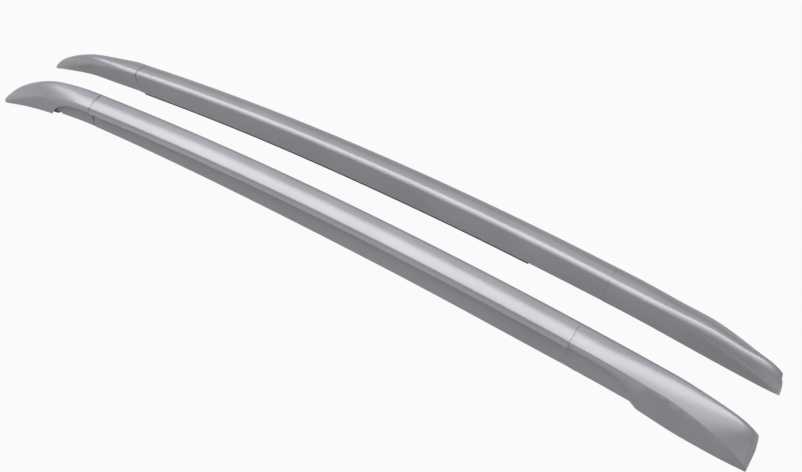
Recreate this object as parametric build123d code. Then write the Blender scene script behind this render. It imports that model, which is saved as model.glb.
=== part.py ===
from build123d import *
import math
import os

os.makedirs("parts", exist_ok=True)

# Roof side rail pair, millimetres. X runs from the pointed front to the blunt rear, Z is up,
# and the left rail is the one at negative Y. Inside a rail, s is measured inwards from the
# outer crest and h upwards from the crest line of the bar.

# Driving dimensions of the layout and of the bar's arch
bar_front_x = -551.0
bar_rear_x = 557.0
crest_gap = 191.0
crest_top = 146.2
crest_apex_x = -62.0
arch_radius = 6100.0
bow_angle = 5.7
toe_angle = 0.5

# Driving dimensions of the bar's section
bar_width = 46.0
side_overhang = 2.0
crest_low = -5.0
inner_low = -4.2
crown_top = 5.5
crest_radius = 6.0
lip_drop = 18.5
lip_flare = 1.6
web_inset = 5.5
wall = 3.0
deck_drop = 34.0
slot_drop = 46.0
slot_width = 13.0
inner_lean = 0.214
leg_low = -95.0

# Clearances and small parts
front_split_gap = 0.8
rear_split_gap = 0.3
split_lean = 7.6
seat_play = 0.02
spigot_length = 52.0
seal_depth = 4.0
seal_rear_x = 405.0
pad_thickness = 3.0
plate_thickness = 4.0
thread_radius = 3.0
mid_fixing_x = (-200.0, 200.0)

# Worked out from them
outer_y = -crest_gap / 2
mid_s = bar_width / 2 - side_overhang
inner_s = bar_width - side_overhang
slot_mid = mid_s - 1
web_in_s = web_inset + wall
bow_rad = math.radians(bow_angle)
arch_axis = Axis(
    (
        crest_apex_x,
        outer_y + arch_radius * math.sin(bow_rad),
        crest_top - arch_radius * math.cos(bow_rad),
    ),
    (0, math.cos(bow_rad), math.sin(bow_rad)),
)
crest_plane = Plane((crest_apex_x, outer_y, crest_top), x_dir=(0, 1, 0), z_dir=(1, 0, 0))


# Places along the arch
def arc_angle(x):
    return math.degrees(math.asin((x - crest_apex_x) / arch_radius))


def fall_at(x):
    return arch_radius * (1 - math.cos(math.radians(arc_angle(x))))


def bow_at(x):
    return fall_at(x) * math.sin(bow_rad)


def crest_at(x):
    return crest_top - fall_at(x) * math.cos(bow_rad)


def along_arch(shape, x):
    return shape.rotate(arch_axis, arc_angle(x))


def swept(outline, x0, x1):
    return revolve(along_arch(crest_plane * outline, x0), arch_axis, arc_angle(x1) - arc_angle(x0))


# Space ahead of the front split, whose plane leans so that its foot is further forward
def ahead_of_split(gap, lean):
    hinge = Pos(bar_front_x - gap, outer_y, crest_at(bar_front_x) + crest_low)
    return hinge * Rot(0, lean, 0) * Pos(-200, 0, 0) * Box(400, 400, 400)


def cross_plane(x):
    return Plane((x, outer_y + bow_at(x), 0), x_dir=(0, 1, 0), z_dir=(1, 0, 0))


def closed(*points):
    return make_face(Polyline(*points, close=True))


def box_outline(s0, s1, h0, h1):
    return closed((s0, h0), (s1, h0), (s1, h1), (s0, h1))


def side_prism(outline, s0, s1, x):
    plane = Plane((0, outer_y + bow_at(x) + s0, 0), x_dir=(1, 0, 0), z_dir=(0, -1, 0))
    return extrude(plane * outline, -(s1 - s0))


# Smooth values between hand-set lines of numbers, the first of each line being its x
def between(lines, x):
    last = len(lines) - 2
    i = min(max(sum(1 for line in lines if line[0] < x) - 1, 0), last)
    start, end = lines[i], lines[i + 1]
    before, after = lines[max(i - 1, 0)], lines[min(i + 2, last + 1)]
    span = end[0] - start[0]
    t = (x - start[0]) / span
    values = []
    for column in range(1, len(start)):
        leave = (end[column] - before[column]) / (end[0] - before[0]) * span
        arrive = (after[column] - start[column]) / (after[0] - start[0]) * span
        rise = end[column] - start[column]
        bend = (3 * rise - 2 * leave - arrive) + (leave + arrive - 2 * rise) * t
        values.append(start[column] + leave * t + bend * t * t)
    return values


def spread(x0, x1, count):
    return [x0 + (x1 - x0) * i / (count - 1) for i in range(count)]


# Roof surface under the rail: x, height below the outer crest, height one reach further in
roof_reach = 32.0
roof_lines = [
    (-880, -2.7, 9),
    (-815, 18.5, 28),
    (-760, 33.5, 45.5),
    (-700, 46, 58),
    (-548, 65, 72),
    (-200, 73, 83),
    (200, 62.5, 74),
    (556, 36.5, 50),
    (680, 27, 37),
    (740, 12.5, 29),
    (800, 4, 22),
    (845, 0, 17.5),
    (890, 1, 16),
]
roof_low = -60.0
roof_margin = 45.0


def roof_edge(s):
    points = []
    for x in spread(roof_lines[0][0], roof_lines[-1][0], 41):
        z_out, z_in = between(roof_lines, x)
        points.append((x, z_out + (z_in - z_out) / roof_reach * (s - bow_at(x))))
    ends = [points[-1], (points[-1][0], roof_low), (points[0][0], roof_low), points[0]]
    plane = Plane((0, outer_y + s, 0), x_dir=(1, 0, 0), z_dir=(0, -1, 0))
    return plane * make_face([Spline(points), *Polyline(ends).edges()])


roof = loft([roof_edge(-roof_margin), roof_edge(roof_reach + roof_margin)], ruled=True)


# Crowned outlines: the caps' is two quarter ellipses over two side lines, and the bar's has
# two tangent arcs on each side that keep to the same ellipses
def dome(crown, crest_out, crest_in, foot_out, foot_in):
    outer = EllipticalCenterArc(
        (crown[0], crest_out[1]),
        crown[0] - crest_out[0],
        crown[1] - crest_out[1],
        start_angle=90,
        arc_size=90,
    )
    inner = EllipticalCenterArc(
        (crown[0], crest_in[1]),
        crest_in[0] - crown[0],
        crown[1] - crest_in[1],
        start_angle=0,
        arc_size=90,
    )
    sides = Polyline(crest_out, foot_out, foot_in, crest_in)
    return make_face([outer, inner, *sides.edges()])


def arc_pair(crown, crest, radius):
    side = math.copysign(1, crest[0] - crown[0])
    across = abs(crest[0] - crown[0]) - radius
    rise = crown[1] - crest[1]
    top_radius = (across**2 + rise**2 - radius**2) / (2 * (rise - radius))
    turn = math.degrees(math.asin(across / (top_radius - radius)))
    top_start = 90 - turn if side > 0 else 90
    edge_start = 0 if side > 0 else 90 + turn
    top = CenterArc((crown[0], crown[1] - top_radius), top_radius, top_start, turn)
    edge = CenterArc((crest[0] - side * radius, crest[1]), radius, edge_start, 90 - turn)
    return [top, edge]


def arc_dome(crown, crest_out, crest_in, foot_out, foot_in, radius):
    arcs = arc_pair(crown, crest_out, radius) + arc_pair(crown, crest_in, radius)
    sides = Polyline(crest_out, foot_out, foot_in, crest_in)
    return make_face([*arcs, *sides.edges()])


def inner_face_s(h):
    return inner_s - (inner_low - h) * inner_lean


split_reach = 20.0


# The bar: a hood with a lip over a set-back web, a closed tube, and a slot under its deck
def bar_outline():
    hood = arc_dome(
        (mid_s, crown_top),
        (-side_overhang, crest_low),
        (inner_s, inner_low),
        (-side_overhang, leg_low),
        (inner_face_s(leg_low), leg_low),
        crest_radius,
    )
    recess_top = -lip_drop - 1.4
    recess = box_outline(-20, web_inset, leg_low - 5, recess_top)
    lip = closed(
        (-side_overhang, crest_low - 6),
        (-side_overhang - lip_flare, -lip_drop + 1.2),
        (-side_overhang - lip_flare + 0.5, -lip_drop - 0.6),
        (-side_overhang + 1.2, recess_top),
    )
    return hood - recess + lip - tube_outline() - channel_outline()


def tube_outline():
    step = -lip_drop + wall
    hood_space = arc_dome(
        (mid_s, crown_top - wall),
        (-side_overhang + wall, crest_low),
        (inner_s - wall, inner_low),
        (-side_overhang + wall, step),
        (inner_face_s(step) - wall, step),
        crest_radius - wall,
    )
    web_space = closed(
        (web_in_s, step + 1),
        (inner_face_s(step + 1) - wall, step + 1),
        (inner_face_s(-deck_drop) - wall, -deck_drop),
        (web_in_s, -deck_drop),
    )
    return hood_space + web_space


def channel_outline():
    ceiling = -deck_drop - wall
    space = closed(
        (web_in_s, ceiling),
        (inner_face_s(ceiling) - wall, ceiling),
        (inner_face_s(leg_low) - wall, leg_low - 1),
        (web_in_s, leg_low - 1),
    )
    left_edge = slot_mid - slot_width / 2
    right_edge = slot_mid + slot_width / 2
    outer_flange = box_outline(0, left_edge, -slot_drop - wall, -slot_drop)
    inner_flange = box_outline(right_edge, 60, -slot_drop - wall, -slot_drop)
    return space - outer_flange - inner_flange


def make_bar():
    bar = swept(bar_outline(), bar_front_x - split_reach, bar_rear_x)
    bar -= ahead_of_split(0, split_lean)
    return bar - roof - screw_holes(bar_screw_places, bar_screw)


# Rubber seal under the bar's inner leg
def make_seal():
    leg = closed(
        (inner_face_s(-45), -45),
        (inner_face_s(leg_low), leg_low),
        (inner_face_s(leg_low) - wall, leg_low),
        (inner_face_s(-45) - wall, -45),
    )
    strip = swept(leg, bar_front_x, seal_rear_x)
    return (strip & roof) - Pos(0, 0, -seal_depth) * roof


# Screws stand square to the arch: place along it, s, height of the face they clamp
bar_screw = {"head": 4.5, "head_height": 3.0, "shank": 2.5, "length": 12.0}
cap_screw = {"head": 3.5, "head_height": 2.4, "shank": 1.75, "length": 12.0}
arm_out_s = 9.0
arm_in_s = 31.0
arm_top = -12.0
screw_margin = 14.0
screw_pitch = 24.0
deck_under = -deck_drop - wall
bar_screw_places = [
    (bar_front_x + screw_margin, mid_s, deck_under),
    (bar_front_x + screw_margin + screw_pitch, mid_s, deck_under),
    (bar_rear_x - screw_margin - screw_pitch, mid_s, deck_under),
    (bar_rear_x - screw_margin, mid_s, deck_under),
]
front_cap_screws = [(-655.0, mid_s, arm_top - wall), (-585.0, mid_s, arm_top - wall)]
rear_cap_screws = [(592.0, mid_s, arm_top - wall), (672.0, mid_s, arm_top - wall)]


def upright(x, s, h, radius, length):
    base = Plane((crest_apex_x, outer_y + s, crest_top + h))
    return along_arch(extrude(base * Circle(radius), length), x)


def screw(place, size):
    x, s, seat = place
    low = seat - seat_play
    head = upright(x, s, low - size["head_height"], size["head"], size["head_height"])
    return head + upright(x, s, low, size["shank"], size["length"])


def screw_group(places, size):
    return Compound([screw(place, size) for place in places])


def screw_holes(places, size):
    return [upright(x, s, seat - 1, size["shank"], size["length"] + 2) for x, s, seat in places]


# Outer surface of a cap, as stations that run from the bar's own outline down to the roof
# x, crown s and z, outer crest s and z, inner crest s and z, outer and inner foot s
def bar_station(x):
    z = crest_at(x)
    outer, inner = (-side_overhang, z + crest_low), (inner_s, z + inner_low)
    return (x, mid_s, z + crown_top, *outer, *inner, -side_overhang, inner_face_s(-60))


front_stations = [
    (-871, 4, 13, 1.5, 6, 7.5, 8, 1.5, 5.5),
    (-850, 7.5, 37, 0, 16, 16, 22, 0, 7),
    (-815, 12, 62.5, -0.5, 32, 25.5, 42, -0.5, 12.5),
    (-760, 16.5, 90, -1, 56, 33.5, 68, -1, 20),
    (-700, 19, 112, -1.5, 84, 39, 95, -1.5, 26),
    (-640, 21, 123.5, -2, 103, 43, 110, -2, 31),
    bar_station(-590),
    bar_station(-551),
    bar_station(-500),
]
rear_stations = [
    bar_station(500),
    bar_station(557),
    bar_station(612),
    (680, 21, 108, -2, 94, 44, 97, -2, 32.5),
    (740, 21, 101.5, -3, 84, 44, 90, -1.5, 33),
    (800, 21, 88.5, -4, 61, 44, 73.5, -1, 33),
    (845, 15, 77, -4, 42, 44, 54, -0.5, 33),
    (870, 13, 62, -3.5, 20, 43.5, 40, 0, 33),
    (892, 13, 42, -2, 4, 42, 24, 1, 32),
]
skirt_reach = 9.0
cavity_reach = 12.0
least_gap = 1.5
shoulder_share = 0.707


def cap_points(stations, x, inset_out, inset, reach):
    crown_s, crown_z, out_s, out_z, in_s, in_z, foot_out_s, foot_in_s = between(stations, x)
    z_out, z_in = between(roof_lines, x)
    roof_slope = (z_in - z_out) / roof_reach
    lean = (in_s - foot_in_s) / (in_z - z_out - roof_slope * foot_in_s)
    low_out_s = foot_out_s + inset_out
    low_in_s = max(foot_in_s - inset - lean * reach, low_out_s + least_gap)
    return (
        (crown_s, crown_z - inset),
        (out_s + inset_out, out_z),
        (in_s - inset, in_z),
        (low_out_s, z_out + roof_slope * foot_out_s - reach),
        (low_in_s, z_out + roof_slope * foot_in_s - reach),
    )


def cap_section(stations, x):
    return cross_plane(x) * dome(*cap_points(stations, x, 0, 0, skirt_reach))


# The hollow's ceiling is flat facets, because only its clearance counts
def hollow_section(stations, x, inset_out, inset):
    points = cap_points(stations, x, inset_out, inset, cavity_reach)
    crown, crest_out, crest_in, foot_out, foot_in = points
    shoulder_out, shoulder_in = [
        (crown[0] + (c[0] - crown[0]) * shoulder_share, c[1] + (crown[1] - c[1]) * shoulder_share)
        for c in (crest_out, crest_in)
    ]
    outline = closed(crest_out, shoulder_out, crown, shoulder_in, crest_in, foot_in, foot_out)
    return cross_plane(x) * outline


def beyond(x0, x1):
    return swept(box_outline(-60, 100, -170, 60), x0, x1)


def lifted(shape, height):
    return Pos(0, 0, height) * shape


def place_y(x, s):
    return outer_y + bow_at(x) + s


# Ribs across a cap's hollow end, kept off the roof, and bosses for its screws
rib_thickness = 2.0
rib_clearance = 8.0
boss_radius = 4.5


def cap_ribs(outer, stations_x):
    slabs = [Pos(x, outer_y, 0) * Box(rib_thickness, 200, 400) for x in stations_x]
    return [(outer & slab) - lifted(roof, rib_clearance) for slab in slabs]


def cap_bosses(outer, places):
    low = arm_top + seat_play
    return [outer & upright(x, s, low, boss_radius, 40) for x, s, seat in places]


# Front cap: pointed shell whose outer wall ends in an arch behind the foot
front_tip_x = -871.0
foot_corner = (-697.0, 42.0)
arch_points = [foot_corner, (-680.0, 60.0), (-655.0, 78.0), (-615.0, 96.0), (-540.0, 107.0)]


def arch_cut():
    low = 10.0
    ends = [arch_points[-1], (arch_points[-1][0], low), (foot_corner[0], low), foot_corner]
    outline = make_face([Spline(arch_points), *Polyline(ends).edges()])
    return side_prism(outline, -20, wall, -630)


def make_front_cap():
    stations = spread(bar_front_x + 20, front_tip_x, 13)
    outer = loft([cap_section(front_stations, x) for x in stations])
    outer &= ahead_of_split(front_split_gap, split_lean)
    hollow_x = spread(bar_front_x + 30, front_tip_x + 42, 7)
    hollow = loft([hollow_section(front_stations, x, wall, wall) for x in hollow_x], ruled=True)
    shell = outer - hollow + cap_ribs(outer, (-808, -784, -760))
    shell += cap_bosses(outer, front_cap_screws)
    return shell - roof - arch_cut() - screw_holes(front_cap_screws, cap_screw)


# Rear cap: blunt shell whose outer wall starts set back like the bar's web and fills out
rear_tip_x = 878.0
rear_loft_x = 892.0
end_lean = 11.0
end_turn = 6.0
recess_end_x = 700.0
lip_points = [(540.0, 97.3), (558.0, 94.9), (600.0, 89.5), (640.0, 79.0), (672.0, 58.0), (690.0, 34.0)]
notch_points = [(575.0, 38.0), (619.0, 36.9), (674.0, 34.8), (687.0, 24.5), (687.0, 5.0), (575.0, 5.0)]


# Space behind the flat end face, which leans forward and is a little out of square
def behind_end(inset):
    hinge = Pos(rear_tip_x - inset, outer_y, 0)
    return hinge * Rot(0, -end_lean, -end_turn) * Pos(200, 0, 0) * Box(400, 400, 400)


def recess_depth(x):
    share = (recess_end_x - x) / (recess_end_x - bar_rear_x)
    return (web_inset + side_overhang) * min(max(share, 0), 1)


def recess_cut():
    low = 0.0
    ends = [lip_points[-1], (lip_points[-1][0], low), (lip_points[0][0], low), lip_points[0]]
    under_lip = side_prism(make_face([Spline(lip_points), *Polyline(ends).edges()]), -30, 20, 620)
    xs = (540, bar_rear_x, recess_end_x)
    inner_line = [(x, place_y(x, recess_depth(x) - side_overhang)) for x in xs]
    plan = closed(*inner_line, (recess_end_x, outer_y - 30), (540, outer_y - 30))
    return under_lip & extrude(plan, 150)


def make_rear_cap():
    stations = spread(bar_rear_x - 27, rear_loft_x, 15)
    outer = loft([cap_section(rear_stations, x) for x in stations])
    outer -= beyond(450, bar_rear_x + rear_split_gap) + behind_end(0)
    hollow_x = spread(bar_rear_x - 37, rear_tip_x, 9)
    hollow = loft(
        [hollow_section(rear_stations, x, wall + recess_depth(x), wall) for x in hollow_x], ruled=True
    )
    hollow -= behind_end(wall)
    shell = outer - hollow + cap_ribs(outer, (806, 828, 850))
    shell += cap_bosses(outer, rear_cap_screws)
    notch = side_prism(closed(*notch_points), -20, 10, 620)
    return shell - roof - recess_cut() - notch - screw_holes(rear_cap_screws, cap_screw)


# Cast brackets: a spigot in the bar, a channel-shaped arm, and a foot that follows the roof
def channel_arm(bar_end, spigot_end, arm_end):
    lower = -deck_drop
    whole = swept(box_outline(arm_out_s, arm_in_s, lower, arm_top), *sorted((spigot_end, arm_end)))
    inside = (arm_out_s + wall, arm_in_s - wall)
    outward = sorted((bar_end, arm_end + math.copysign(1, arm_end)))
    inward = sorted((bar_end, spigot_end - math.copysign(1, arm_end)))
    open_space = swept(box_outline(*inside, lower - 20, arm_top - wall), *outward)
    pocket = swept(box_outline(*inside, lower + 5, arm_top - wall), *inward)
    return whole - open_space - pocket


def foot_prism(x, s, length, width, height=150):
    return extrude(Plane((x, place_y(x, s), 0)) * SlotOverall(length, width), height)


def drilled(x, s, radius, z0, z1):
    return extrude(Plane((x, place_y(x, s), z0)) * Circle(radius), z1 - z0)


def foot_plate(foot):
    plate = foot_prism(*foot) & lifted(roof, pad_thickness + plate_thickness)
    return plate - lifted(roof, pad_thickness)


front_arm_end = -684.0
rear_arm_end = 700.0
front_foot = (-705.0, 11.5, 62.0, 14.0)
front_boss_top = 76.0
front_hole_top = 71.0
front_rib = [(-730, 40), (-728, 74), (-700, 96), (-640, 105), (-640, 88), (-668, 52)]
rear_foot = (757.0, 16.0, 66.0, 24.0)
rear_boss_top = 50.0
rear_hole_top = 43.0
rear_rib = [(650, 70), (650, 88), (695, 84), (768, 52), (786, 20), (786, 5), (722, 10), (700, 40)]
rear_rib_low_s = (9.5, 24.0)
rib_width = 4.0
web_plate_x = (-686.0, -540.0)
web_low_x = (-670.0, -540.0)
web_gap = 6.5
web_lean = 2.5
web_plate_top = -24.0
web_clearance = 1.0


def make_front_bracket():
    arm = channel_arm(bar_front_x, bar_front_x + spigot_length, front_arm_end)
    web = swept(box_outline(web_inset, arm_out_s + 0.4, -90, web_plate_top), *web_plate_x)
    web &= ahead_of_split(web_gap, web_lean)
    x, s = front_foot[:2]
    boss = drilled(x, s, 7, 20, front_boss_top)
    rib = side_prism(closed(*front_rib), 9.5, 9.5 + rib_width, -690)
    body = arm + web + boss + rib - lifted(roof, pad_thickness) + foot_plate(front_foot)
    body += (web & beyond(*web_low_x)) - lifted(roof, web_clearance)
    body -= drilled(x, s, thread_radius, 20, front_hole_top)
    return body - screw_holes(front_cap_screws, cap_screw) - screw_holes(bar_screw_places[:2], bar_screw)


def make_rear_bracket():
    arm = channel_arm(bar_rear_x, bar_rear_x - spigot_length, rear_arm_end)
    x, s = rear_foot[:2]
    boss = drilled(x, s, 8, 0, rear_boss_top)
    ribs = [side_prism(closed(*rear_rib), low, low + rib_width, 720) for low in rear_rib_low_s]
    body = arm + boss + ribs - lifted(roof, pad_thickness) + foot_plate(rear_foot)
    body -= drilled(x, s, thread_radius, 0, rear_hole_top)
    return body - screw_holes(rear_cap_screws, cap_screw) - screw_holes(bar_screw_places[2:], bar_screw)


# Rubber pads between the feet and the roof, and nuts that slide in the bar's slot
def make_pad(foot):
    x, s, length, width = foot
    pad = foot_prism(x, s, length + 3, width + 1) & lifted(roof, pad_thickness)
    return pad - roof - drilled(x, s, thread_radius + 1.5, 0, 100)


nut_length = 36.0
nut_height = 6.0


def slot_nut(x):
    flange = box_outline(slot_mid - 8.5, slot_mid + 8.5, -slot_drop, nut_height - slot_drop)
    neck = box_outline(slot_mid - 6, slot_mid + 6, -slot_drop - wall, -slot_drop)
    nut = swept(flange + neck, x - nut_length / 2, x + nut_length / 2)
    return nut - drilled(x, slot_mid, thread_radius, 40, 140)


# One rail, laid with its slight toe, and its mirror image
rail = {
    "bar": make_bar(),
    "base_seal": make_seal(),
    "front_cap": make_front_cap(),
    "rear_cap": make_rear_cap(),
    "front_bracket": make_front_bracket(),
    "rear_bracket": make_rear_bracket(),
    "front_pad": make_pad(front_foot),
    "rear_pad": make_pad(rear_foot),
    "bar_screws": screw_group(bar_screw_places, bar_screw),
    "cap_screws": screw_group(front_cap_screws + rear_cap_screws, cap_screw),
    "slot_nuts": Compound([slot_nut(x) for x in mid_fixing_x]),
}

laid = {name: Rot(0, 0, -toe_angle) * piece for name, piece in rail.items()}

# The pair is centred lengthwise and stands on its lowest point
extent = Compound(list(laid.values())).bounding_box()
stand = Pos(-(extent.min.X + extent.max.X) / 2, 0, -extent.min.Z)
for name, piece in laid.items():
    placed = stand * piece
    export_step(placed, f"parts/left_{name}.step")
    export_step(mirror(placed, Plane.XZ), f"parts/right_{name}.step")
print("moved by", stand.position)
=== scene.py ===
import math

import bmesh
import bpy
from mathutils import Euler, Matrix, Vector


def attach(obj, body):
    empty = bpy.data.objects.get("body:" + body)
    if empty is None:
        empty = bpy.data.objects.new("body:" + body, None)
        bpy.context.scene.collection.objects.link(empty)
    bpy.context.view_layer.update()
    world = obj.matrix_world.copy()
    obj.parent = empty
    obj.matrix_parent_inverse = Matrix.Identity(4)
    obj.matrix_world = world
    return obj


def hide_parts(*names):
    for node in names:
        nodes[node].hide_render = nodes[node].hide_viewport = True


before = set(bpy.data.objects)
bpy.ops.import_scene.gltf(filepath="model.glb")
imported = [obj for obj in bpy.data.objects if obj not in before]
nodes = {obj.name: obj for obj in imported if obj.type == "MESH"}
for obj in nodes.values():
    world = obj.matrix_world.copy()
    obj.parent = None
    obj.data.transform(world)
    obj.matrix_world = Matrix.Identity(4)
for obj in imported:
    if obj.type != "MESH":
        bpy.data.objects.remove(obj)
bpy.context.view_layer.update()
scene = bpy.context.scene
mm = 0.001


# The camera stands at the rear on the left side and looks along the pair to its front, as in
# the photograph: pitch is below the horizon, turn is away from straight across the rails,
# and roll levels the picture.
camera_place = Vector((835, -1053, 1310.5)) * mm
camera_pitch = math.radians(45.0)
camera_turn = math.radians(32.64)
camera_roll = math.radians(0.27)
picture_width = 802
focal_pixels = 932
film_width = 36.0

lens = bpy.data.cameras.new("camera")
lens.sensor_fit = "HORIZONTAL"
lens.sensor_width = film_width
lens.lens = film_width * focal_pixels / picture_width
lens.clip_start = 0.01
camera = bpy.data.objects.new("camera", lens)
aim = Euler((math.pi / 2 - camera_pitch, 0, camera_turn)).to_matrix()
aim @= Matrix.Rotation(camera_roll, 3, "Z")
camera.matrix_world = Matrix.Translation(camera_place) @ aim.to_4x4()
scene.collection.objects.link(camera)
scene.camera = camera
scene.view_settings.view_transform = "Standard"


# The floor is a sheet of white studio board. The camera and the paint's gloss see it nearly
# all white, with a share of matte grey that holds the rails' soft shadow. Other light meets
# the grey alone, which keeps the rails' sides dark.
floor_reach = 6.0
floor_colour = "6c6c6e"
floor_white_share = 0.95


# Colours are written in sRGB hex, and shaders take linear light
def linear(hex_colour):
    channels = [int(hex_colour[i:i + 2], 16) / 255 for i in (0, 2, 4)]
    return [c / 12.92 if c <= 0.04045 else ((c + 0.055) / 1.055) ** 2.4 for c in channels] + [1]


def set_node(tree, node, settings=None, links=None):
    for name, value in (settings or {}).items():
        if hasattr(node, str(name)):
            setattr(node, name, value)
        else:
            node.inputs[name].default_value = value
    for name, socket in (links or {}).items():
        tree.links.new(socket, node.inputs[name])
    return node


def add_node(tree, kind, settings=None, links=None):
    return set_node(tree, tree.nodes.new(kind), settings, links)


shape = bmesh.new()
bmesh.ops.create_grid(shape, x_segments=1, y_segments=1, size=floor_reach)
floor_mesh = bpy.data.meshes.new("floor")
shape.to_mesh(floor_mesh)
shape.free()
floor = bpy.data.objects.new("floor", floor_mesh)
scene.collection.objects.link(floor)

board = bpy.data.materials.new("white_studio_board")
board.use_nodes = True
tree = board.node_tree
tree.nodes.clear()
rays = add_node(tree, "ShaderNodeLightPath")
seen = rays.outputs["Is Camera Ray"]
for kind in ("Is Glossy Ray", "Is Transmission Ray"):
    either = {0: seen, 1: rays.outputs[kind]}
    seen = add_node(tree, "ShaderNodeMath", {"operation": "MAXIMUM"}, either).outputs[0]
white_part = add_node(
    tree, "ShaderNodeMath", {"operation": "MULTIPLY", 1: floor_white_share}, {0: seen}
)
matte = add_node(tree, "ShaderNodeBsdfDiffuse", {"Color": linear(floor_colour)})
white = add_node(tree, "ShaderNodeEmission", {"Color": (1, 1, 1, 1), "Strength": 1})
mixed = add_node(
    tree, "ShaderNodeMixShader", None,
    {"Fac": white_part.outputs[0], 1: matte.outputs[0], 2: white.outputs[0]},
)
add_node(tree, "ShaderNodeOutputMaterial", None, {"Surface": mixed.outputs[0]})
floor_mesh.materials.append(board)


# Soft studio light: a dim room and three long soft boxes. The strong one hangs over the
# rails, a weak one stands behind them, and a lower one on the camera's side draws the
# bright line along the crests.
room_colour = "c4c4cc"
room_strength = 0.08
room = bpy.data.worlds.new("room")
room.use_nodes = True
room_light = room.node_tree.nodes["Background"]
set_node(room.node_tree, room_light, {"Color": linear(room_colour), "Strength": room_strength})
scene.world = room


def soft_box(name, place, size, aim_at, watts):
    lamp = bpy.data.lights.new(name, "AREA")
    lamp.shape = "RECTANGLE"
    lamp.size, lamp.size_y = size
    lamp.energy = watts
    box = bpy.data.objects.new(name, lamp)
    scene.collection.objects.link(box)
    box.location = place
    box.rotation_euler = (Vector(aim_at) - Vector(place)).to_track_quat("-Z", "Y").to_euler()


soft_box("back_box", (-0.8, 1.55, 1.8), (6.5, 1.9), (-0.8, 0, 0.1), 16)
soft_box("top_box", (-0.8, -0.35, 1.9), (6.5, 1.3), (-0.8, 0, 0.1), 104)
soft_box("crest_box", (-0.6, -1.6, 1.6), (6.5, 1.1), (-0.6, 0, 0.1), 37)


# The two bars are aluminium extrusions, rolled to the roof's arch and sprayed silver. A bar is
# its section, spun about the arch's axis: a hood with a crisp crest and a turned-out lip over
# a set-back web, a closed tube, and a slot under its deck. Its legs follow the roof.

# Sizes are in mm in the rail's own frame, where x runs to the rear. In the section, s runs
# inwards from the crest's line and h runs up from it. The stand is where the pair was set
# down on the shared frame's origin.
outer_y = -95.5
arch_radius = 6100.0
arch_bow = math.radians(5.7)
arch_apex = Vector((-62.0, outer_y, 146.2))
arch_axis = Vector((0, math.cos(arch_bow), math.sin(arch_bow)))
arch_up = Vector((0, -math.sin(arch_bow), math.cos(arch_bow)))
arch_centre = arch_apex - arch_radius * arch_up
toe = math.radians(0.5)
stand = Vector((-3.41655, 0, 0.923344))

bar_front_x, bar_rear_x = -551.0, 557.0
bar_spare_x = 20.0
bar_steps = 90
bar_crown_s, bar_crown_h = 21.0, 5.5
bar_crest_s, bar_crest_h = -2.0, -5.0
bar_inner_s, bar_inner_h = 44.0, -4.2
bar_top = (bar_crown_s, bar_crown_h, bar_crest_s, bar_crest_h, bar_inner_s, bar_inner_h)
ridge_share = 0.4
bar_power = 2.0
inner_power = 0.6
crown_steps = 22
wall = 3.0
shelf = 4.0
web_s = 5.5
web_top_h = -19.9
deck_h = -34.0
slot_h = -46.0
slot_edges = (13.5, 26.5)
leg_low_h = -95.0
inner_lean = 0.214
crest_edge = [(-2.0, -11.0), (-2.0, -6.0), (-1.9, -5.3), (-1.55, -4.75)]
lip_edge = [(-0.8, web_top_h), (-4.7, -19.1), (-5.2, -17.3), (-4.9, -16.6)]
crease = math.radians(28)

# The roof under a rail: x, its height at s 0, and its height at s roof_reach
roof_reach = 32.0
roof_lines = [
    (-880, -2.7, 9),
    (-815, 18.5, 28),
    (-760, 33.5, 45.5),
    (-700, 46, 58),
    (-548, 65, 72),
    (-200, 73, 83),
    (200, 62.5, 74),
    (556, 36.5, 50),
    (680, 27, 37),
    (740, 12.5, 29),
    (800, 4, 22),
    (845, 0, 17.5),
    (890, 1, 16),
]


# The right rail is the left one's mirror image, and each toes in a little on the roof
def to_rail(place, side):
    point = Vector(place) / mm
    if side == "right":
        point.y = -point.y
    return Matrix.Rotation(toe, 3, "Z") @ (point - stand)


def to_scene(point, side):
    place = Matrix.Rotation(-toe, 3, "Z") @ Vector(point) + stand
    if side == "right":
        place.y = -place.y
    return place * mm


def arch_fall(x):
    return arch_radius - math.sqrt(arch_radius**2 - (x - arch_apex.x) ** 2)


def crest_z(x):
    return arch_apex.z - arch_fall(x) * math.cos(arch_bow)


def inward(point):
    return point.y - outer_y - arch_fall(point.x) * math.sin(arch_bow)


# A crown is s and z of its top, of its outer crest and of its inner crest
def bar_crown(x):
    z = crest_z(x)
    outer = (bar_crest_s, z + bar_crest_h)
    inner = (bar_inner_s, z + bar_inner_h)
    return (bar_crown_s, z + bar_crown_h, *outer, *inner)


# A table's columns at x, on smooth curves through its rows
def between(lines, x):
    last = len(lines) - 2
    i = min(max(sum(1 for line in lines if line[0] < x) - 1, 0), last)
    start, end = lines[i], lines[i + 1]
    before, after = lines[max(i - 1, 0)], lines[min(i + 2, last + 1)]
    span = end[0] - start[0]
    t = (x - start[0]) / span
    values = []
    for column in range(1, len(start)):
        leave = (end[column] - before[column]) / (end[0] - before[0]) * span
        arrive = (after[column] - start[column]) / (after[0] - start[0]) * span
        rise = end[column] - start[column]
        bend = (3 * rise - 2 * leave - arrive) + (leave + arrive - 2 * rise) * t
        values.append(start[column] + leave * t + bend * t * t)
    return values


def roof_z(point):
    low, high = between(roof_lines, point.x)
    return low + (high - low) / roof_reach * inward(point)


def ridge_place(crown):
    return crown[0] + ridge_share * (crown[4] - crown[0])


# The crown falls from its ridge on a parabola to the crisp outer crest, and rounder inwards
def crown_height(s, crown, power):
    top_s, top_z, out_s, out_z, in_s, in_z = crown
    ridge_s = ridge_place(crown)
    if s < ridge_s:
        share = min((ridge_s - s) / (ridge_s - out_s), 1)
        return out_z + (top_z - out_z) * (1 - share**power)
    share = min((s - ridge_s) / (in_s - ridge_s), 1)
    return in_z + (top_z - in_z) * (1 - share**2) ** inner_power


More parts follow.
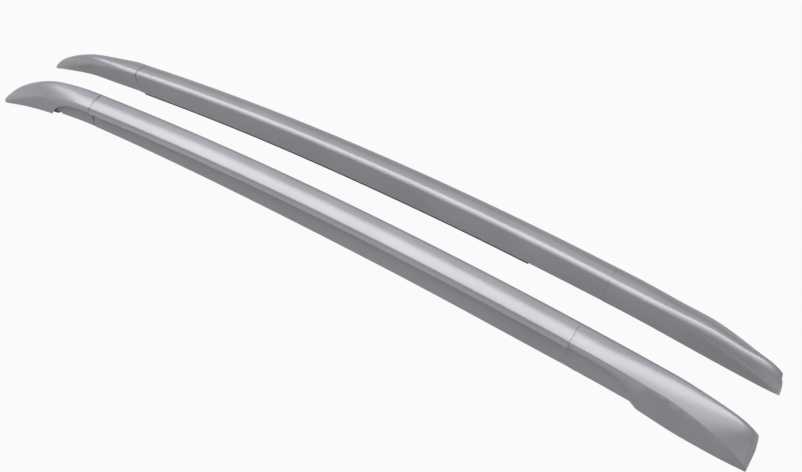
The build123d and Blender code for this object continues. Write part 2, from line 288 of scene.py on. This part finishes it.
def finish_piece(shape, name, node, materials):
    mesh = bpy.data.meshes.new(name)
    shape.to_mesh(mesh)
    shape.free()
    for material in materials:
        mesh.materials.append(material)
    piece = bpy.data.objects.new(name, mesh)
    scene.collection.objects.link(piece)
    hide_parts(node)
    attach(piece, "root")


def mark_creases(shape):
    for face in shape.faces:
        face.smooth = True
    for edge in shape.edges:
        edge.smooth = edge.is_manifold and edge.calc_face_angle() < crease


def new_material(name):
    material = bpy.data.materials.new(name)
    material.use_nodes = True
    tree = material.node_tree
    return material, tree, tree.nodes["Principled BSDF"]


def add_noise(tree, size, detail, spot):
    settings = {"Scale": 1 / (size * mm), "Detail": detail}
    return add_node(tree, "ShaderNodeTexNoise", settings, {"Vector": spot}).outputs["Fac"]


def add_tint(tree, grain, dark, light, low=0, high=1):
    tint = add_node(tree, "ShaderNodeValToRGB", None, {"Fac": grain})
    first, second = tint.color_ramp.elements
    first.position, first.color = low, linear(dark)
    second.position, second.color = high, linear(light)
    return tint.outputs["Color"]


def add_gloss(tree, grain, low, high):
    settings = {"To Min": low, "To Max": high}
    return add_node(tree, "ShaderNodeMapRange", settings, {"Value": grain}).outputs["Result"]


def add_bump(tree, grain, strength):
    settings = {"Strength": strength, "Distance": bump_depth * mm}
    return add_node(tree, "ShaderNodeBump", settings, {"Height": grain}).outputs["Normal"]


# Satin silver paint: aluminium flake in grey lacquer. The flake gives a fine sparkle and a
# soft metal sheen, and the lacquer a faint orange peel. Real flake is 0.03 mm, drawn as 1 mm.
flake_size = 1.0
peel_size = 4.0
patch_size = 120.0
patch_share = 0.35
tint_stops = (0.35, 0.65)
gloss_spread = 0.04
bump_depth = 0.1
paint_dark, paint_light = "8e8e93", "9c9ca1"


def silver_paint(name, roughness, peel):
    paint, tree, shader = new_material(name)
    spot = add_node(tree, "ShaderNodeTexCoord").outputs["Object"]
    flake = add_noise(tree, flake_size, 2.0, spot)
    patch = add_noise(tree, patch_size, 1.0, spot)
    orange = add_noise(tree, peel_size, 1.0, spot)
    both = add_node(
        tree, "ShaderNodeMix", {"data_type": "FLOAT", "Factor": patch_share},
        {"A": flake, "B": patch},
    ).outputs["Result"]
    settings = {
        "Metallic": 0.35, "Specular Tint": linear("8c8c8e"), "Specular IOR Level": 0.3,
        "Coat Weight": 0.06, "Coat Roughness": 0.2,
    }
    links = {
        "Base Color": add_tint(tree, both, paint_dark, paint_light, *tint_stops),
        "Roughness": add_gloss(tree, patch, roughness - gloss_spread, roughness + gloss_spread),
        "Normal": add_bump(tree, orange, peel),
    }
    set_node(tree, shader, settings, links)
    return paint


silver = silver_paint("satin_silver_paint", 0.32, 0.05)

# Painted shade: the cut ends at the front split are coloured flat and very dark, for the shade
# in the split's thin gap. Its grain only breaks up the black, so it runs with the piece's box
# and not at a real size.
split_shade_grain_scale = 1250
split_shade_black, tree, shader = new_material("painted_split_shade")
grain = add_node(tree, "ShaderNodeTexNoise", {"Scale": split_shade_grain_scale}).outputs["Fac"]
links = {"Base Color": add_tint(tree, grain, "101012", "1c1c1e")}
set_node(tree, shader, {"Roughness": 0.7}, links)


def inner_leg_s(h):
    return bar_inner_s - (bar_inner_h - h) * inner_lean


def bar_outline():
    points = list(crest_edge)
    ridge_s = ridge_place(bar_top)
    for i in range(1, crown_steps):
        s = bar_crest_s + (ridge_s - bar_crest_s) * i / crown_steps
        points.append((s, crown_height(s, bar_top, bar_power)))
    for i in range(crown_steps + 1):
        s = ridge_s + (bar_inner_s - ridge_s) * math.sin(math.pi / 2 * i / crown_steps)
        points.append((s, crown_height(s, bar_top, bar_power)))
    ceiling_h = deck_h - wall
    web_in_s = web_s + wall
    points += [
        (inner_leg_s(leg_low_h), leg_low_h), (inner_leg_s(leg_low_h) - wall, leg_low_h),
        (inner_leg_s(slot_h - wall) - wall, slot_h - wall), (slot_edges[1], slot_h - wall),
        (slot_edges[1], slot_h), (inner_leg_s(slot_h) - wall, slot_h),
        (inner_leg_s(ceiling_h) - wall, ceiling_h), (web_in_s, ceiling_h),
        (web_in_s, slot_h), (slot_edges[0], slot_h),
        (slot_edges[0], slot_h - wall), (web_in_s, slot_h - wall),
        (web_in_s, leg_low_h), (web_s, leg_low_h), (web_s, web_top_h),
    ]
    return points + lip_edge


def tube_outline():
    points = []
    for i in range(crown_steps + 1):
        s = bar_crest_s + wall + (bar_inner_s - bar_crest_s - 2 * wall) * i / crown_steps
        points.append((s, crown_height(s, bar_top, bar_power) - wall))
    return points + [
        (inner_leg_s(deck_h) - wall, deck_h), (web_s + wall, deck_h),
        (web_s + wall, web_top_h + shelf), (bar_crest_s + wall, web_top_h + shelf),
    ]


def arch_turn(x):
    return math.asin((x - arch_apex.x) / arch_radius)


def swing(x):
    turn = Matrix.Translation(arch_centre) @ Matrix.Rotation(arch_turn(x), 4, arch_axis)
    return turn @ Matrix.Translation(-arch_centre)


# A leg's foot slides along its own wall to the roof. The roof rises inwards, so the height
# is found again from each new place.
foot_band = 1.0
inner_leg_from = slot_edges[1] - 5
foot_rounds = 4


def trim_to_roof(vert):
    arm = vert.co - arch_centre
    turn = Matrix.Rotation(math.atan2(arm.x, arm.dot(arch_up)), 4, arch_axis)
    home = turn.inverted() @ arm + arch_centre
    if home.z - arch_apex.z > leg_low_h + foot_band:
        return
    lean = inner_lean if home.y - outer_y > inner_leg_from else 0
    for _ in range(foot_rounds):
        rise = roof_z(vert.co) - vert.co.z
        home += Vector((0, rise * lean, rise))
        vert.co = turn @ (home - arch_centre) + arch_centre


# The front split leans back, and its cut faces take the near-black painted shade of the gap
split_lean = math.radians(7.6)
split_ahead = Vector((-math.cos(split_lean), 0, math.sin(split_lean)))
split_place = Vector((bar_front_x, outer_y, crest_z(bar_front_x) + bar_crest_h))


def spun_bar():
    shape = bmesh.new()
    start_x = bar_front_x - bar_spare_x
    for outline in (bar_outline(), tube_outline()):
        corners = [shape.verts.new(arch_apex + Vector((0, s, h))) for s, h in outline]
        for i, corner in enumerate(corners):
            shape.edges.new((corners[i - 1], corner))
    bmesh.ops.transform(shape, matrix=swing(start_x), verts=shape.verts)
    ends = bmesh.ops.spin(
        shape, geom=shape.verts[:] + shape.edges[:], cent=arch_centre, axis=arch_axis,
        angle=arch_turn(bar_rear_x) - arch_turn(start_x), steps=bar_steps, use_merge=False,
    )
    last = [part for part in ends["geom_last"] if isinstance(part, bmesh.types.BMEdge)]
    bmesh.ops.triangle_fill(shape, use_beauty=True, edges=last)
    for vert in shape.verts:
        trim_to_roof(vert)
    cut = bmesh.ops.bisect_plane(
        shape, geom=shape.verts[:] + shape.edges[:] + shape.faces[:], plane_co=split_place,
        plane_no=split_ahead, clear_outer=True,
    )
    rim = [part for part in cut["geom_cut"] if isinstance(part, bmesh.types.BMEdge)]
    filled = bmesh.ops.triangle_fill(shape, use_beauty=True, edges=rim)
    bmesh.ops.recalc_face_normals(shape, faces=shape.faces)
    # The filled cut faces take the near-black painted shade of the split's gap
    for face in filled["geom"]:
        if isinstance(face, bmesh.types.BMFace):
            face.material_index = 1
    return shape


def set_down(shape, side):
    for vert in shape.verts:
        vert.co = to_scene(vert.co, side)
    if side == "right":
        bmesh.ops.reverse_faces(shape, faces=shape.faces)
    mark_creases(shape)


for side in ("left", "right"):
    shape = spun_bar()
    set_down(shape, side)
    finish_piece(shape, f"{side}_bar_skin", f"{side}_bar", [silver, split_shade_black])


# The four end caps are moulded in ABS and painted with the bars. Each is the CAD cap's own
# mesh, merged and drawn down in the same way, so that the crest runs on from the bar. Lines
# below: x, crown s and z, outer crest s and z, inner crest s and z.
front_lines = [
    (-871, 4, 13, 1.5, 6, 7.5, 8),
    (-850, 7.5, 37, 0, 16, 16, 22),
    (-815, 12, 62.5, -0.5, 32, 25.5, 42),
    (-760, 16.5, 90, -1, 56, 33.5, 68),
    (-700, 19, 112, -1.5, 84, 39, 95),
    (-640, 21, 123.5, -2, 103, 43, 110),
    (-590, *bar_crown(-590)),
    (-551, *bar_crown(-551)),
    (-500, *bar_crown(-500)),
]
rear_lines = [
    (500, *bar_crown(500)),
    (557, *bar_crown(557)),
    (612, *bar_crown(612)),
    (680, 21, 108, -2, 94, 44, 97),
    (740, 21, 101.5, -3, 84, 44, 90),
    (800, 21, 88.5, -4, 61, 44, 73.5),
    (845, 15, 77, -4, 42, 44, 54),
    (870, 13, 62, -3.5, 20, 43.5, 40),
    (892, 13, 42, -2, 4, 42, 24),
]
front_drawn = [
    (-871, 4, 10, 1.5, 6, 7.5, 7),
    (-850, 7.5, 30, 0, 18, 16, 18),
    (-815, 12, 57, -0.5, 36, 25.5, 38),
    (-760, 16.5, 88, -1, 65, 33.5, 66),
    (-700, 19, 112, -1.5, 91, 39, 95),
    (-640, 21, 123.5, -2, 108, 43, 110),
    *front_lines[-3:],
]
rear_drawn = [
    *rear_lines[:3],
    (680, 21, 108, -2, 94, 44, 95.5),
    (740, 21, 101.5, -3, 85, 44, 84),
    (800, 21, 88.5, -4, 64, 44, 65),
    (845, 15, 77, -4, 40, 44, 47),
    (870, 13, 62, -3.5, 18, 43.5, 34),
    (892, 13, 42, -2, 2, 42, 19),
]
split_gap = 0.8
split_opening = 0.7
split_edge_reach = 0.05
split_face_reach = 0.1
rear_power = 1.35
rear_blend_x = bar_rear_x + 40
rear_blunt_x = rear_lines[-2][0]
edge_share = 0.9999
least_side = 1.0


# Above a crest, heights are scaled from the moulded crown to the drawn one. Below it, the
# side wall is stretched with its crest and stays on the roof.
def draw_down(point, moulded_crown, drawn_crown, power):
    s = inward(point)
    top_s, top_z, out_s, out_z, in_s, in_z = moulded_crown
    edge_s, edge_z, drawn_z = out_s, out_z, drawn_crown[3]
    if s > top_s:
        edge_s, edge_z, drawn_z = in_s, in_z, drawn_crown[5]
    if point.z > edge_z:
        share = min(abs((s - top_s) / (edge_s - top_s)), edge_share)
        moulded = (top_z - edge_z) * math.sqrt(1 - share**2)
        drawn = crown_height(s, drawn_crown, power) - drawn_z
        point.z = drawn_z + (point.z - edge_z) * drawn / moulded
    else:
        share = (point.z - roof_z(point)) / max(edge_z - roof_z(point), least_side)
        point.z += (drawn_z - edge_z) * min(max(share, 0), 1)
    return point


def redrawn(node, side, redraw):
    shape = bmesh.new()
    shape.from_mesh(nodes[node].data)
    bmesh.ops.remove_doubles(shape, verts=shape.verts, dist=1e-6)
    for vert in shape.verts:
        vert.co = to_scene(redraw(to_rail(vert.co, side)), side)
    mark_creases(shape)
    return shape


def redraw_front_cap(point):
    ahead = (point - split_place).dot(split_ahead)
    if abs(ahead - split_gap * math.cos(split_lean)) < split_edge_reach:
        point += split_ahead * split_opening
    lines = between(front_lines, point.x), between(front_drawn, point.x)
    return draw_down(point, *lines, bar_power)


def redraw_rear_cap(point):
    share = (point.x - rear_blend_x) / (rear_blunt_x - rear_blend_x)
    power = bar_power + (rear_power - bar_power) * min(max(share, 0), 1)
    lines = between(rear_lines, point.x), between(rear_drawn, point.x)
    return draw_down(point, *lines, power)


# Faces on a cap's cut end take the near-black painted shade of the split's gap
def paint_split_shade(shape, side, plane_place):
    for face in shape.faces:
        places = [to_rail(vert.co, side) - plane_place for vert in face.verts]
        if all(abs(place.dot(split_ahead)) < split_face_reach for place in places):
            face.material_index = 1


for side in ("left", "right"):
    cap = f"{side}_front_cap"
    shape = redrawn(cap, side, redraw_front_cap)
    cap_end = split_place + split_ahead * (split_gap * math.cos(split_lean) + split_opening)
    paint_split_shade(shape, side, cap_end)
    finish_piece(shape, f"{cap}_skin", cap, [silver, split_shade_black])
    cap = f"{side}_rear_cap"
    shape = redrawn(cap, side, redraw_rear_cap)
    finish_piece(shape, f"{cap}_skin", cap, [silver])


# The brackets are die-cast alloy, painted with the bars. Their web shows under the front
# arch, where the casting's coarser skin takes the shine off the paint.
def paint_node(name, material):
    nodes[name].data.materials.clear()
    nodes[name].data.materials.append(material)


cast_silver = silver_paint("painted_casting", 0.42, 0.25)
for side in ("left", "right"):
    for piece in ("front_bracket", "rear_bracket"):
        paint_node(f"{side}_{piece}", cast_silver)


# The base seals and foot pads are black EPDM rubber, pressed between the rail and the roof.
# Moulded rubber is matt with a fine grain, real at 0.1 mm and drawn as 0.7 mm to show.
rubber_grain_size = 0.7
rubber, tree, shader = new_material("black_epdm_rubber")
spot = add_node(tree, "ShaderNodeTexCoord").outputs["Object"]
grain = add_noise(tree, rubber_grain_size, 3.0, spot)
links = {
    "Base Color": add_tint(tree, grain, "0e0e10", "1e1e20"),
    "Normal": add_bump(tree, grain, 0.3),
}
set_node(tree, shader, {"Roughness": 0.75}, links)
for side in ("left", "right"):
    for piece in ("base_seal", "front_pad", "rear_pad"):
        paint_node(f"{side}_{piece}", rubber)


# The nuts that slide in the slots are steel with zinc plate, as the screws are: thin, bright
# and a little patchy, in clouds of about 3 mm, with a bluish cast.
zinc_cloud_size = 3.0
zinc, tree, shader = new_material("zinc_plate")
spot = add_node(tree, "ShaderNodeTexCoord").outputs["Object"]
cloud = add_noise(tree, zinc_cloud_size, 4.0, spot)
links = {
    "Base Color": add_tint(tree, cloud, "a9adb3", "c9ccd2"),
    "Roughness": add_gloss(tree, cloud, 0.25, 0.45),
}
set_node(tree, shader, {"Metallic": 1.0}, links)
for side in ("left", "right"):
    paint_node(f"{side}_slot_nuts", zinc)


# The screws are zinc-plated steel with a hexagon socket: M5 up through the bar's deck, and
# 3.5 mm with a coarse thread up into the caps. Each stands square to the arch under its seat.
bar_screw = {
    "head": 4.5, "head_height": 3.0, "shank": 2.5, "length": 12.0, "pitch": 0.8,
    "socket": 2.3, "seat": -37.02, "places": (-537.0, -513.0, 519.0, 543.0),
}
cap_screw = {
    "head": 3.5, "head_height": 2.4, "shank": 1.75, "length": 12.0, "pitch": 1.25,
    "socket": 1.7, "seat": -15.02, "places": (-655.0, -585.0, 592.0, 672.0),
}
screw_s = 21.0
head_sides = 36
head_edge = 0.4
head_edge_steps = 3
socket_margin = 1.02
socket_chamfer = 0.05
socket_depth_share = 0.6
thread_depth_share = 0.16
thread_start = -0.3
turn_steps = 20


def lowest_face(shape):
    return min(shape.faces, key=lambda face: face.calc_center_median().z)


def screw_head(head, size):
    bmesh.ops.create_cone(
        head, cap_ends=True, segments=head_sides, radius1=size["head"], radius2=size["head"],
        depth=size["head_height"],
    )
    bmesh.ops.translate(head, verts=head.verts, vec=(0, 0, -size["head_height"] / 2))
    bmesh.ops.bevel(
        head, geom=list(lowest_face(head).edges), offset=head_edge, offset_type="OFFSET",
        segments=head_edge_steps, profile=0.5, affect="EDGES", material=-1,
    )
    under = lowest_face(head)
    rim = size["head"] - head_edge - size["socket"] * socket_margin
    bmesh.ops.inset_region(head, faces=[under], thickness=rim)
    for vert in under.verts:
        angle = math.atan2(vert.co.y, vert.co.x)
        across = (angle % (math.pi / 3)) - math.pi / 6
        reach = size["socket"] * math.cos(math.pi / 6) / math.cos(across)
        vert.co.x, vert.co.y = reach * math.cos(angle), reach * math.sin(angle)
    depth = -size["head_height"] * socket_depth_share
    bmesh.ops.inset_region(head, faces=[under], thickness=socket_chamfer, depth=depth)


def screw_thread(shank, size):
    top, low = size["shank"], size["shank"] * (1 - thread_depth_share)
    pitch = size["pitch"]
    turns = int(size["length"] / pitch)
    profile = [shank.verts.new(place) for place in (
        (low, 0, thread_start), (top, 0, pitch / 2 + thread_start), (low, 0, pitch + thread_start),
    )]
    line = [shank.edges.new(profile[0:2]), shank.edges.new(profile[1:3])]
    bmesh.ops.spin(
        shank, geom=profile + line, cent=(0, 0, 0), axis=(0, 0, 1), angle=math.tau * turns,
        dvec=(0, 0, pitch / turn_steps), steps=turn_steps * turns, use_merge=False,
    )
    bmesh.ops.remove_doubles(shank, verts=shank.verts, dist=0.001)


def add_screw(shape, size, base):
    screw = bmesh.new()
    screw_head(screw, size)
    screw_thread(screw, size)
    bmesh.ops.holes_fill(screw, edges=[edge for edge in screw.edges if edge.is_boundary], sides=0)
    bmesh.ops.recalc_face_normals(screw, faces=screw.faces)
    bmesh.ops.transform(screw, matrix=base, verts=screw.verts)
    finished = bpy.data.meshes.new("screw")
    screw.to_mesh(finished)
    screw.free()
    shape.from_mesh(finished)
    bpy.data.meshes.remove(finished)


for side in ("left", "right"):
    for name, size in (("bar_screws", bar_screw), ("cap_screws", cap_screw)):
        shape = bmesh.new()
        seat = Matrix.Translation(arch_apex + Vector((0, screw_s, size["seat"])))
        for x in size["places"]:
            add_screw(shape, size, swing(x) @ seat)
        set_down(shape, side)
        finish_piece(shape, f"{side}_threaded_{name}", f"{side}_{name}", [zinc])
